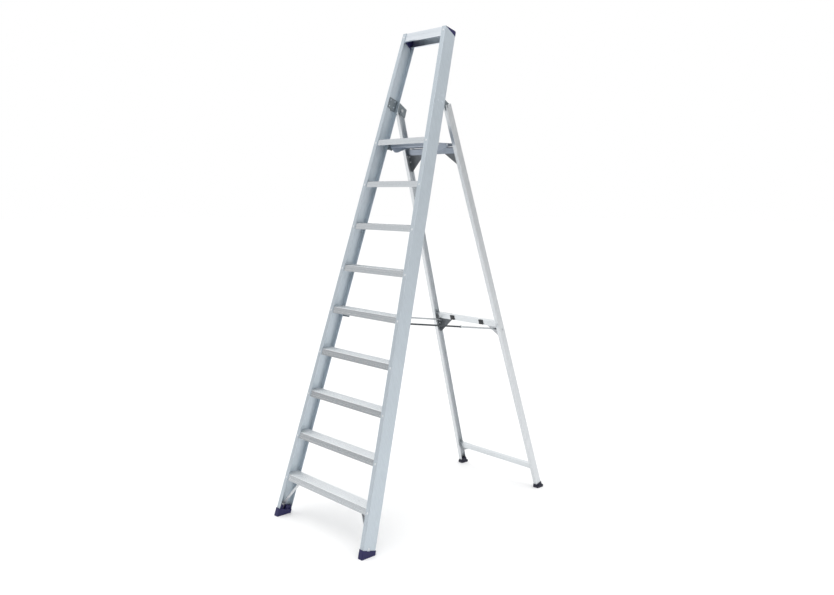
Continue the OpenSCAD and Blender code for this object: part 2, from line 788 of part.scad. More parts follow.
module platform_bracket() {
    difference() {
        intersection() {
            angle_bracket(deck_ear_x, deck_bracket_u + 6, deck_bracket_tall, deck_ear_reach, far / 4);
            foot_limit();
        }
        translate([0, deck_pin_w, deck_bracket_u]) rotate([0, 90, 0])
            cylinder(h = far, r = deck_pin_r + rivet_fit, $fn = round_fn);
        for (u = concat(deck_low_rivet_u, deck_high_rivet_u)) at_back_rivet(u) rivet_hole(bracket_t + stile_wall);
    }
}

module platform_bracket_left() color("#868c91") in_front_frame() on_side(LEFT) platform_bracket();
module platform_bracket_right() color("#868c91") in_front_frame() on_side(RIGHT) platform_bracket();

// Headed pin, fixed in its bracket, on which the platform turns
module platform_pins() {
    inner = cheek_x - 2;
    color("#b4b8bb") in_front_frame()
        for (side = [LEFT, RIGHT]) on_side(side)
            translate([0, deck_pin_w, deck_bracket_u]) rotate([0, 90, 0]) {
                translate([0, 0, inner]) cylinder(h = deck_ear_x + plate_t - inner, r = deck_pin_r, $fn = round_fn);
                translate([0, 0, deck_ear_x + plate_t]) cylinder(h = 2.5, r = deck_pin_r + 2.5, $fn = round_fn);
            }
}

stay_ear_x = stay_rear_x;
stay_ear_reach = stay_front_w + 10;

module stay_bracket() {
    difference() {
        intersection() {
            angle_bracket(stay_ear_x, stay_front_u, stay_bracket_tall, stay_ear_reach, far / 4);
            foot_limit();
        }
        translate([0, stay_front_w, stay_front_u]) rotate([0, 90, 0])
            cylinder(h = far, r = pivot_r + rivet_fit, $fn = round_fn);
        for (u = stay_rivet_u) at_back_rivet(u) rivet_hole(bracket_t + stile_wall);
    }
}

module stay_bracket_left() color("#868c91") in_front_frame() on_side(LEFT) stay_bracket();
module stay_bracket_right() color("#868c91") in_front_frame() on_side(RIGHT) stay_bracket();

// Pivot through the bracket and the front link, with a head each side
module stay_front_pivots() {
    inner = stay_front_x - 0.2;
    outer = stay_ear_x + plate_t;
    color("#b4b8bb") in_front_frame()
        for (side = [LEFT, RIGHT]) on_side(side)
            translate([0, stay_front_w, stay_front_u]) rotate([0, 90, 0]) {
                translate([0, 0, inner]) cylinder(h = outer - inner, r = pivot_r, $fn = round_fn);
                translate([0, 0, outer]) cylinder(h = 2, r = pivot_r + 2.5, $fn = round_fn);
                translate([0, 0, inner - 2]) cylinder(h = 2, r = pivot_r + 3, $fn = round_fn);
            }
}

module bracket_rivets() {
    color("#d9dcde") in_front_frame()
        for (side = [LEFT, RIGHT]) on_side(side) {
            at_hinge_rivets() rivet(stile_wall + plate_t, rivet_r, rivet_head_r, rivet_head_h);
            for (u = concat(ear_rivet_u, deck_low_rivet_u, stay_rivet_u))
                at_back_rivet(u) rivet(bracket_t + stile_wall);
            at_back_rivet(deck_high_rivet_u[0]) rivet(bracket_t + stile_wall + tread_wall);
        }
}

// ---------------------------------------------------------------- rear frame

// Rivets of a gusset through the leg's rear flange and into the brace
module at_gusset_rivets(s, drops) {
    for (d = drops)
        translate([(leg_half(s + d) + leg_tip_half(s + d)) / 2, leg_depth / 2, s + d])
            rotate([90, 0, 0]) children();
}

upper_rivet_drop = [brace_tall + 14, brace_tall + 48];
lower_rivet_drop = [brace_tall * 0.5, brace_tall + 14];
gusset_grip = leg_wall + brace_wall;

module at_all_gusset_rivets() {
    at_gusset_rivets(upper_s, upper_rivet_drop) children();
    at_gusset_rivets(mid_s, upper_rivet_drop) children();
    at_gusset_rivets(lower_s, lower_rivet_drop) children();
}

module stay_rear_axis() {
    translate([0, stay_rear_q, stay_rear_s]) rotate([0, 90, 0]) children();
}

module rear_leg() {
    half = leg_depth / 2;
    difference() {
        translate([rear_top_w / 2, 0, 0]) rotate([0, leg_taper, 0])
            translate([0, 0, -60]) linear_extrude(height = leg_len + 120)
                translate([0, -half]) channel_2d(leg_flange, leg_depth, leg_wall, 1.5);
        // Square ends
        translate([0, -far / 2, -leg_top_over - far]) cube([far, far, far]);
        translate([0, -far / 2, leg_foot_s]) cube([far, far, far]);
        // Slot in the front flange for the neck of the hinge plate
        translate([stile_half(hinge_u) - plate_in - 2.2, -half - 1, -far / 2])
            cube([plate_t + 4.4, leg_wall + 1.01, far / 2 + plate_neck + 3]);
        rotate([0, 90, 0]) cylinder(h = far, r = bolt_r + run_fit, $fn = round_fn);
        stay_rear_axis() cylinder(h = far, r = pivot_r + rivet_fit, $fn = round_fn);
        at_all_gusset_rivets() rivet_hole(gusset_grip);
    }
}

module rear_leg_left() color("#d3d6d8") in_rear_frame() on_side(LEFT) rear_leg();
module rear_leg_right() color("#d3d6d8") in_rear_frame() on_side(RIGHT) rear_leg();

// Channel across the legs, web to the front, lips at the rear
module brace_2d(s) {
    t = brace_wall;
    lip = 8;
    difference() {
        translate([brace_q, s]) square([brace_deep, brace_tall]);
        translate([brace_q + t, s + t]) square([brace_deep - 2 * t, brace_tall - 2 * t]);
        translate([brace_q + t, s + lip]) square([brace_deep, brace_tall - 2 * lip]);
    }
}

module brace(s) {
    in_rear_frame()
        difference() {
            intersection() {
                translate([-base_w / 2, 0, 0]) across(base_w) brace_2d(s);
                between_legs(end_fit);
            }
            for (side = [LEFT, RIGHT]) on_side(side)
                stay_rear_axis() cylinder(h = far, r = pivot_r + 4, $fn = round_fn);
        }
}

module upper_brace() color("#aeb4b8") brace(upper_s);
module mid_brace() color("#c3c8cb") brace(mid_s);
module lower_brace() color("#d6d9da") brace(lower_s);

// Triangular plate behind a brace, riveted to the leg's rear flange
module gusset(s, reach, drop) {
    out_top = leg_half(s) - leg_wall - 1.5;
    out_low = leg_half(s + brace_tall + drop) - leg_wall - 1.5;
    tip = 12;
    difference() {
        translate([0, gusset_q + brace_wall, 0]) rotate([90, 0, 0]) linear_extrude(height = brace_wall)
            polygon([
                [out_top, s], [out_top - reach, s], [out_top - reach, s + brace_tall],
                [out_low - tip, s + brace_tall + drop], [out_low, s + brace_tall + drop]
            ]);
        at_all_gusset_rivets() rivet_hole(gusset_grip);
    }
}

module upper_gusset_left() color("#4b5054") in_rear_frame() on_side(LEFT) gusset(upper_s, gusset_reach, gusset_drop);
module upper_gusset_right() color("#4b5054") in_rear_frame() on_side(RIGHT) gusset(upper_s, gusset_reach, gusset_drop);
module mid_gusset_left() color("#73787c") in_rear_frame() on_side(LEFT) gusset(mid_s, gusset_reach, gusset_drop);
module mid_gusset_right() color("#73787c") in_rear_frame() on_side(RIGHT) gusset(mid_s, gusset_reach, gusset_drop);
module lower_gusset_left() color("#c9cccd") in_rear_frame() on_side(LEFT) gusset(lower_s, low_gusset_reach, low_gusset_drop);
module lower_gusset_right() color("#c9cccd") in_rear_frame() on_side(RIGHT) gusset(lower_s, low_gusset_reach, low_gusset_drop);

module gusset_rivets() {
    color("#d9dcde") in_rear_frame()
        for (side = [LEFT, RIGHT]) on_side(side) at_all_gusset_rivets() rivet(gusset_grip);
}

// Moulded pads on the front of the middle brace
module brace_clips() {
    wall = 5;
    color("#26282b") in_rear_frame()
        for (side = [LEFT, RIGHT]) on_side(side)
            translate([clip_x - clip_w / 2, 0, 0]) across(clip_w)
                translate([brace_q - wall, mid_s + 2]) rounded_2d([wall, brace_tall - 4], 2);
}

// Pin from the leg's web to the rear link, with a collar inside the web
module stay_rear_pivots() {
    web = leg_half(stay_rear_s);
    color("#b4b8bb") in_rear_frame()
        for (side = [LEFT, RIGHT]) on_side(side)
            stay_rear_axis() {
                translate([0, 0, stay_rear_x + 0.2]) cylinder(h = web + 1.5 - stay_rear_x, r = pivot_r, $fn = round_fn);
                translate([0, 0, web + 0.8]) cylinder(h = 2.5, r = pivot_r + 3, $fn = round_fn);
                translate([0, 0, stay_rear_x + stay_t + link_gap])
                    cylinder(h = web - leg_wall - 1.3 - stay_rear_x - stay_t - link_gap, r = pivot_r + 3, $fn = round_fn);
            }
}

// ---------------------------------------------------------------- rear feet

module rear_foot() {
    half = leg_depth / 2;
    w = boot_wall;
    difference() {
        union() {
            // Cup around the leg
            intersection() {
                translate([rear_top_w / 2, 0, 0]) rotate([0, leg_taper, 0])
                    translate([-leg_flange - w, -half - w, rear_rim_s]) linear_extrude(height = 120)
                        rounded_2d([leg_flange + 2 * w, leg_depth + 2 * w], 3);
                translate([0, -far / 2, rear_rim_s + 2]) cube([far, far, far]);
            }
            // Flared sole, level with the floor
            rotate([rear_lean, 0, 0])
                translate([
                    leg_half(leg_len) - leg_flange - w - sole_flare,
                    rear_sole_y - hinge_y - rear_sole_d / 2, hinge_h - sole_h
                ])
                    linear_extrude(height = sole_h)
                        rounded_2d([leg_flange + 2 * w + 2 * sole_flare, rear_sole_d], 6);
        }
        // Room for the leg
        intersection() {
            translate([rear_top_w / 2, 0, 0]) rotate([0, leg_taper, 0])
                translate([0, 0, leg_len - 200]) linear_extrude(height = 400)
                    difference() {
                        translate([-leg_flange - end_fit, -half - end_fit])
                            square([leg_flange + 2 * end_fit, leg_depth + 2 * end_fit]);
                        translate([-leg_flange - end_fit - 1, -half + leg_wall + end_fit])
                            square([leg_flange + 1 - leg_wall, leg_depth - 2 * leg_wall - 2 * end_fit]);
                    }
            translate([0, -far / 2, leg_foot_s + end_fit - far]) cube([far, far, far]);
        }
        // Floor line
        rotate([rear_lean, 0, 0]) translate([0, -far / 2, hinge_h]) cube([far, far, far]);
    }
}

module rear_foot_left() color("#181b30") in_rear_frame() on_side(LEFT) rear_foot();
module rear_foot_right() color("#181b30") in_rear_frame() on_side(RIGHT) rear_foot();

// ---------------------------------------------------------------- platform

deck_deep = deck_rear_y - deck_front_y;
port_y = [deck_deep * 0.22, deck_deep * 0.62];
port_r = 4.2;

// Deck section: ribbed top, three ribs below, two screw ports
module deck_2d() {
    t = deck_wall;
    rows = 14;
    pitch = (deck_deep - 10) / rows;
    difference() {
        union() {
            translate([0, -t]) square([deck_deep, t]);
            translate([0, -deck_t]) square([t, deck_t]);
            translate([deck_deep - t, -deck_t]) square([t, deck_t]);
            translate([0, -deck_t]) square([12, t]);
            translate([deck_deep - 12, -deck_t]) square([12, t]);
            translate([deck_deep * 0.42, -deck_t * 0.75]) square([t, deck_t * 0.75]);
            translate([deck_deep * 0.8, -deck_t * 0.75]) square([t, deck_t * 0.75]);
            for (y = port_y) {
                translate([y - t / 2, -deck_t / 2]) square([t, deck_t / 2]);
                translate([y, -deck_t / 2]) circle(port_r + t * 0.8, $fn = 24);
            }
        }
        for (y = port_y) translate([y, -deck_t / 2]) circle(port_r - 1.2, $fn = 24);
    }
    for (i = [0:rows - 1])
        translate([5 + (i + 0.5) * pitch - rib_w / 2, -0.1]) square([rib_w, rib_h + 0.1]);
}

module platform_deck() {
    color("#b9bec2") upright()
        difference() {
            translate([-deck_w / 2, deck_front_y, deck_top]) across(deck_w) deck_2d();
            for (side = [LEFT, RIGHT]) on_side(side)
                translate([0, deck_pin_y, deck_pin_z]) rotate([0, 90, 0])
                    translate([0, 0, cheek_x - 4]) cylinder(h = far, r = deck_pin_r + 1, $fn = round_fn);
        }
}

// End plate of the platform with the hook that drops over the upper brace
module cheek_2d() {
    deep = hook_y - deck_front_y;
    cheek_front = 34;
    cheek_deep = 44;
    notch_y = rear_y(brace_q, upper_s) - deck_front_y - 22;
    low = hook_z - deck_top;
    difference() {
        polygon([
            [1, -1], [1, -deck_t - 1], [cheek_front, -cheek_deep], [cheek_front + 22, -cheek_deep],
            [notch_y, low], [deep, low],
            [deep, low - hook_drop], [deep + hook_t - 2, low - hook_drop - 2], [deep + hook_t, low - hook_drop],
            [deep + hook_t, -1]
        ]);
        translate([deck_pin_y - deck_front_y, deck_pin_z - deck_top]) circle(deck_pin_r + run_fit, $fn = round_fn);
        for (y = port_y) translate([y, -deck_t / 2]) circle(rivet_r + rivet_fit, $fn = rivet_fn);
    }
}

module platform_cheek() {
    translate([cheek_x, deck_front_y, deck_top]) across(cheek_t) cheek_2d();
}

module platform_cheek_left() color("#8f959a") upright() on_side(LEFT) platform_cheek();
module platform_cheek_right() color("#8f959a") upright() on_side(RIGHT) platform_cheek();

// Rivets from each cheek into the screw ports of the deck
module cheek_rivets() {
    shank = 14;
    color("#5d6266") upright()
        for (side = [LEFT, RIGHT], y = port_y) on_side(side)
            translate([cheek_x + cheek_t, deck_front_y + y, deck_top - deck_t / 2]) rotate([0, -90, 0]) {
                cylinder(h = cheek_t + shank, r = port_r - 1.2, $fn = rivet_fn);
                translate([0, 0, -rivet_head_h]) cylinder(h = rivet_head_h, r = rivet_head_r, $fn = rivet_fn);
            }
}

// ---------------------------------------------------------------- stays

module link(a, b, x) {
    upright() translate([x, 0, 0]) rotate([90, 0, 90])
        eye_bar(a, b, stay_w, stay_eye_r, stay_t, pivot_r + run_fit);
}

module stay_front_link_left() color("#3c4044") on_side(LEFT) link(stay_a, stay_knuckle, stay_front_x);
module stay_front_link_right() color("#3c4044") on_side(RIGHT) link(stay_a, stay_knuckle, stay_front_x);
module stay_rear_link_left() color("#3c4044") on_side(LEFT) link(stay_b, stay_knuckle, stay_rear_x);
module stay_rear_link_right() color("#3c4044") on_side(RIGHT) link(stay_b, stay_knuckle, stay_rear_x);

// Half of the knuckle's rivet, flush with the split plane
module half_knuckle(front) {
    x = front ? stay_front_x : stay_rear_x;
    upright() translate([x, stay_knuckle.x, stay_knuckle.y]) rotate([0, 90, 0]) {
        cylinder(h = stay_t, r = pivot_r, $fn = round_fn);
        translate([0, 0, front ? -2.2 : stay_t]) cylinder(h = 2.2, r = pivot_r + 3, $fn = round_fn);
    }
}

module knuckle_front_left() color("#b4b8bb") on_side(LEFT) half_knuckle(true);
module knuckle_front_right() color("#b4b8bb") on_side(RIGHT) half_knuckle(true);
module knuckle_rear_left() color("#b4b8bb") on_side(LEFT) half_knuckle(false);
module knuckle_rear_right() color("#b4b8bb") on_side(RIGHT) half_knuckle(false);

// ---------------------------------------------------------------- assembly

stile_left();
stile_right();
tread(1);  // tread_1
tread(2);  // tread_2
tread(3);  // tread_3
tread(4);  // tread_4
tread(5);  // tread_5
tread(6);  // tread_6
tread(7);  // tread_7
tread(8);  // tread_8
tread(9);  // tread_9
top_rail();
top_cap_left();
top_cap_right();
frame_rivets();
knee_brace_left();
knee_brace_right();
front_foot_left();
front_foot_right();
hinge_plate_left();
hinge_plate_right();
hinge_ear_left();
hinge_ear_right();
hinge_bolts();
hinge_spacers();
bracket_rivets();
platform_bracket_left();
platform_bracket_right();
platform_pins();
stay_bracket_left();
stay_bracket_right();
stay_front_pivots();
rear_leg_left();
rear_leg_right();
upper_brace();
mid_brace();
lower_brace();
upper_gusset_left();
upper_gusset_right();
mid_gusset_left();
mid_gusset_right();
lower_gusset_left();
lower_gusset_right();
gusset_rivets();
brace_clips();
rear_foot_left();
rear_foot_right();
stay_rear_pivots();
platform_deck();
platform_cheek_left();
platform_cheek_right();
cheek_rivets();
stay_front_link_left();
stay_front_link_right();
stay_rear_link_left();
stay_rear_link_right();
knuckle_front_left();
knuckle_front_right();
knuckle_rear_left();
knuckle_rear_right();
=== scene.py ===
"""Looks for a folding aluminium platform step ladder, dressed around its CAD frame.

Each sub-assembly is a class that dresses its own nodes, each
finish is a frozen dataclass that builds one material, and main() runs them in order.
"""

import json
import logging
import math
from dataclasses import dataclass
from enum import Enum

import bmesh
import bpy
from mathutils import Matrix, Vector

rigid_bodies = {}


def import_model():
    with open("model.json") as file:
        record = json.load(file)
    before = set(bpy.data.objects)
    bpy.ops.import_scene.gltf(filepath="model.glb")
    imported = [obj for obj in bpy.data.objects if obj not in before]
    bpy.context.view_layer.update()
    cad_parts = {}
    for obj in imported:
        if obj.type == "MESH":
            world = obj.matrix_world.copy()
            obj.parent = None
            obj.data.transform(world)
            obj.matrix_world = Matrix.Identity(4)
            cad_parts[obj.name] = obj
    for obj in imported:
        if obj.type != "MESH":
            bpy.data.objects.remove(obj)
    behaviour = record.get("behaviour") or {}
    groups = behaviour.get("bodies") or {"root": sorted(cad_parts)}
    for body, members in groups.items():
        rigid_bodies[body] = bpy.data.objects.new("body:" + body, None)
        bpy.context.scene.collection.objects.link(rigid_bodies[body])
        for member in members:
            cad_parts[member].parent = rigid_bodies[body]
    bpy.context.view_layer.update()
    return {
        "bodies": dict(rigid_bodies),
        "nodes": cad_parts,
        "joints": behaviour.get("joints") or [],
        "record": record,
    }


LOG = logging.getLogger("ladder")
MM = 0.001
TREADS = 9
SIDES = ("left", "right")

STILE_LEAN = math.radians(16.0)
REAR_LEAN = math.radians(17.0)

Nodes = bpy.types.NodeTree
Shader = bpy.types.ShaderNode
Socket = bpy.types.NodeSocket
Links = dict[str | int, object]
Stops = tuple[tuple[float, float], ...]
Point = tuple[float, float, float]


class Grain(Enum):
    """Which way the fine lines of an extrusion run, as a turn about X from upright."""

    ALONG_STILE = -STILE_LEAN
    ALONG_LEG = REAR_LEAN
    ACROSS = None


# ------------------------------------------------------------------ small helpers


def linear(hex_code: str) -> tuple[float, float, float, float]:
    """Turn an sRGB hex colour into linear RGBA.

    Args:
        hex_code: colour as "#rrggbb".

    Returns:
        The linear colour with an alpha of one.
    """
    parts = [int(hex_code[i : i + 2], 16) / 255 for i in (1, 3, 5)]
    return (*((c / 12.92 if c <= 0.04045 else ((c + 0.055) / 1.055) ** 2.4) for c in parts), 1.0)


def per_metre(size_mm: float) -> float:
    """Turn the size of a pattern's features in millimetres into a texture scale."""
    return 1 / (size_mm * MM)


def plug(node: Shader, links: Links) -> None:
    """Set the inputs of a node.

    Args:
        node: the node.
        links: input name or index to a value, to an output socket, or to a node, which
            stands for the first output it has in use.
    """
    for key, value in links.items():
        if isinstance(value, Shader):
            value = next(socket for socket in value.outputs if socket.enabled)
        if isinstance(value, Socket):
            node.id_data.links.new(value, node.inputs[key])
        else:
            node.inputs[key].default_value = value


def add(tree: Nodes, kind: str, links: Links | None = None, stops: Stops = (), **settings: object) -> Shader:
    """Add one node with its settings and links.

    Args:
        tree: the node tree that gets the node.
        kind: the node's type, without its "ShaderNode" prefix.
        links: its inputs, as plug() takes them.
        stops: the (place, grey) pairs of a colour ramp, two or more, in rising order.
        **settings: the node's own attributes.

    Returns:
        The new node.
    """
    node = tree.nodes.new("ShaderNode" + kind)
    for name, value in settings.items():
        setattr(node, name, value)
    for index, (place, grey) in enumerate(stops):
        elements = node.color_ramp.elements
        # A new ramp has two stops of its own
        stop = elements[index] if index < 2 else elements.new(place)
        stop.position = place
        stop.color = (grey, grey, grey, 1.0)
    plug(node, links or {})
    return node


def new_material(name: str) -> tuple[bpy.types.Material, Nodes, Shader]:
    """Start a material.

    Args:
        name: the material's name.

    Returns:
        The material, its node tree and its shader.
    """
    material = bpy.data.materials.new(name)
    material.use_nodes = True
    tree = material.node_tree
    return material, tree, tree.nodes["Principled BSDF"]


# ------------------------------------------------------------------ finishes


@dataclass(frozen=True)
class ExtrudedAluminium:
    """Mill-finish aluminium 6063 profile: satin, with die lines along the extrusion.

    The lines give a faint streaked sheen across the profile. Real ones are about
    0.3 mm apart, too fine to show here, so they are drawn coarser.
    """

    name: str
    base: str
    shade: str
    grain: Grain
    roughness: float = 0.36
    line_mm: float = 3.0
    line_run_mm: float = 1667.0
    line_spread: float = 0.07
    bump: float = 0.10
    bump_mm: float = 0.15
    handling: float = 0.06
    shade_per_handling: float = 4.0
    handled_mm: float = 111.0
    handled_run_mm: float = 333.0
    scuff_mm: float = 16.67
    scuff_rise_mm: float = 29.4
    # Painted light: upward faces can be mixed towards a near-white colour.
    lit_top_painted: bool = False
    top_painted_light: str = "#f7f9fa"
    top_matt_rough: float = 0.45

    def build(self) -> bpy.types.Material:
        """Make the material.

        Returns:
            The new material.
        """
        material, tree, shader = new_material(self.name)
        place = add(tree, "TexCoord").outputs["Object"]
        turned = add(tree, "Mapping", {"Vector": place, "Rotation": (self.grain.value or 0.0, 0.0, 0.0)})
        fine, long = per_metre(self.line_mm), per_metre(self.line_run_mm)
        stretch = (long, fine, fine) if self.grain is Grain.ACROSS else (fine, fine, long)
        drawn = add(tree, "Mapping", {"Vector": turned, "Scale": stretch})
        lines = add(tree, "TexNoise", {"Vector": drawn, "Scale": 1.0, "Detail": 3.0})
        bright = add(tree, "ValToRGB", {"Fac": lines}, ((0.32, 0.0), (0.68, 1.0)))
        shades = {0: bright, "A": linear(self.shade), "B": linear(self.base)}
        streaked = add(tree, "Mix", shades, data_type="RGBA")
        colour = self.handled(tree, turned, streaked)
        dull = add(tree, "ValToRGB", {"Fac": lines}, ((0.3, 0.0), (0.7, 1.0)))
        spread = add(tree, "Math", {0: dull, 1: self.line_spread}, operation="MULTIPLY")
        worn = add(tree, "Math", {0: spread, 1: self.scuffs(tree, place)}, operation="ADD")
        rough = add(tree, "Math", {0: worn, 1: self.roughness}, operation="ADD")
        # Painted light: the upward faces are lightened towards a near-white.
        if self.lit_top_painted:
            colour, rough = self.paint_light_on_top(tree, colour, rough)
        bump = add(tree, "Bump", {"Height": lines, "Strength": self.bump, "Distance": self.bump_mm * MM})
        plug(shader, {"Base Color": colour, "Metallic": 1.0, "Roughness": rough, "Normal": bump})
        return material

    def handled(self, tree: Nodes, turned: Shader, streaked: Shader) -> Shader:
        """Shade the broad patches that handling leaves on the satin skin.

        Args:
            tree: the node tree.
            turned: the place along and across the profile.
            streaked: the colour before handling.

        Returns:
            The node of the handled colour.
        """
        wide, tall = per_metre(self.handled_mm), per_metre(self.handled_run_mm)
        spot = add(tree, "Mapping", {"Vector": turned, "Scale": (wide, wide, tall)})
        cloud = add(tree, "TexNoise", {"Vector": spot, "Scale": 1.0, "Detail": 4.0, "Roughness": 0.6})
        darkest = self.handling * self.shade_per_handling
        amount = add(tree, "ValToRGB", {"Fac": cloud}, ((0.45, 0.0), (0.7, darkest)))
        shades = {0: amount, "A": streaked, "B": linear(self.shade)}
        return add(tree, "Mix", shades, data_type="RGBA")

    def scuffs(self, tree: Nodes, place: Socket) -> Shader:
        """Scatter small dull scuffs.

        Args:
            tree: the node tree.
            place: the place on the piece.

        Returns:
            The node of the roughness they add.
        """
        wide, tall = per_metre(self.scuff_mm), per_metre(self.scuff_rise_mm)
        spot = add(tree, "Mapping", {"Vector": place, "Scale": (wide, wide, tall)})
        marks = add(tree, "TexNoise", {"Vector": spot, "Scale": 1.0, "Detail": 6.0, "Roughness": 0.72})
        picked = add(tree, "ValToRGB", {"Fac": marks}, ((0.5, 0.0), (0.75, 1.0)))
        return add(tree, "Math", {0: picked, 1: self.handling}, operation="MULTIPLY")

    def paint_light_on_top(self, tree: Nodes, colour: Shader, rough: Shader) -> tuple[Shader, Shader]:
        """Paint light on the upward faces: mix them towards a near-white, and make them matt.

        Args:
            tree: the node tree.
            colour: the colour elsewhere.
            rough: the roughness elsewhere.

        Returns:
            The nodes of the colour with the painted light on top, and of the roughness.
        """
        facing = add(tree, "SeparateXYZ", {0: add(tree, "TexCoord").outputs["Normal"]})
        # Mask of the upward faces that get the painted light.
        top = add(tree, "ValToRGB", {"Fac": facing.outputs["Z"]}, ((0.6, 0.0), (0.9, 1.0)))
        shades = {0: top, "A": colour, "B": linear(self.top_painted_light)}
        matt = add(tree, "Math", {0: top, 1: self.top_matt_rough}, operation="MULTIPLY")
        rough = add(tree, "Math", {0: rough, 1: matt}, operation="ADD")
        return add(tree, "Mix", shades, data_type="RGBA"), rough


@dataclass(frozen=True)
class MouldedPlastic:
    """Injection-moulded polypropylene: even colour, spark-eroded grain, dull sheen.

    The grain scatters the highlight, and rubbed patches are paler. Real grain is
    about 0.1 mm wide, too fine to show here, so it is drawn coarser.
    """

    name: str
    base: str
    worn: str
    ior: float = 1.49
    roughness: float = 0.42
    grain_mm: float = 1.4
    rub_mm: float = 22.22
    bump: float = 0.25
    bump_mm: float = 0.1

    def build(self) -> bpy.types.Material:
        """Make the material.

        Returns:
            The new material.
        """
        material, tree, shader = new_material(self.name)
        place = add(tree, "TexCoord").outputs["Object"]
        grain = add(tree, "TexNoise", {"Vector": place, "Scale": per_metre(self.grain_mm), "Detail": 2.0})
        rubs = {"Vector": place, "Scale": per_metre(self.rub_mm), "Detail": 6.0, "Roughness": 0.7}
        patch = add(tree, "TexNoise", rubs)
        pale = add(tree, "ValToRGB", {"Fac": patch}, ((0.5, 0.0), (0.8, 0.5)))
        shades = {0: pale, "A": linear(self.base), "B": linear(self.worn)}
        colour = add(tree, "Mix", shades, data_type="RGBA")
        dull = add(tree, "ValToRGB", {"Fac": patch}, ((0.35, 0.0), (0.75, 0.2)))
        rough = add(tree, "Math", {0: dull, 1: self.roughness}, operation="ADD")
        bump = add(tree, "Bump", {"Height": grain, "Strength": self.bump, "Distance": self.bump_mm * MM})
        plug(shader, {"Base Color": colour, "IOR": self.ior, "Roughness": rough, "Normal": bump})
        return material


@dataclass(frozen=True)
class PressedMetal:
    """Pressed or turned metal, plated steel or plain aluminium: grey, with a soft gloss.

    A spangle varies the grey a little from patch to patch, and fine dust dulls it.
    """

    name: str
    base: str
    shade: str
    roughness: float = 0.38
    spangle_mm: float = 6.0
    dust_mm: float = 6.25
    bump: float = 0.15
    bump_mm: float = 0.08

    def build(self) -> bpy.types.Material:
        """Make the material.

        Returns:
            The new material.
        """
        material, tree, shader = new_material(self.name)
        place = add(tree, "TexCoord").outputs["Object"]
        spangle = add(tree, "TexVoronoi", {"Vector": place, "Scale": per_metre(self.spangle_mm)})
        tone = add(tree, "SeparateColor", {"Color": spangle.outputs["Color"]})
        lit = add(tree, "ValToRGB", {"Fac": tone.outputs["Red"]}, ((0.0, 0.1), (1.0, 0.9)))
        shades = {0: lit, "A": linear(self.shade), "B": linear(self.base)}
        colour = add(tree, "Mix", shades, data_type="RGBA")
        specks = {"Vector": place, "Scale": per_metre(self.dust_mm), "Detail": 6.0, "Roughness": 0.7}
        dust = add(tree, "TexNoise", specks)
        dull = add(tree, "ValToRGB", {"Fac": dust}, ((0.35, 0.0), (0.7, 0.16)))
        rough = add(tree, "Math", {0: dull, 1: self.roughness}, operation="ADD")
        bump = add(tree, "Bump", {"Height": dust, "Strength": self.bump, "Distance": self.bump_mm * MM})
        plug(shader, {"Base Color": colour, "Metallic": 1.0, "Roughness": rough, "Normal": bump})
        return material


Finish = ExtrudedAluminium | MouldedPlastic | PressedMetal


@dataclass(frozen=True)
class StudioFloor:
    """Matt painted floor, pale, with the faintest unevenness."""

    name: str
    base: str
    gloss: float = 0.1
    roughness: float = 0.85
    cloud_mm: float = 333.0

    def build(self) -> bpy.types.Material:
        """Make the material.

        Returns:
            The new material.
        """
        material, tree, shader = new_material(self.name)
        place = add(tree, "TexCoord").outputs["Object"]
        cloud = add(tree, "TexNoise", {"Vector": place, "Scale": per_metre(self.cloud_mm), "Detail": 3.0})
        uneven = add(tree, "ValToRGB", {"Fac": cloud}, ((0.4, 0.0), (0.6, 0.05)))
        rough = add(tree, "Math", {0: uneven, 1: self.roughness}, operation="ADD")
        plug(shader, {"Base Color": linear(self.base), "Specular IOR Level": self.gloss, "Roughness": rough})
        return material


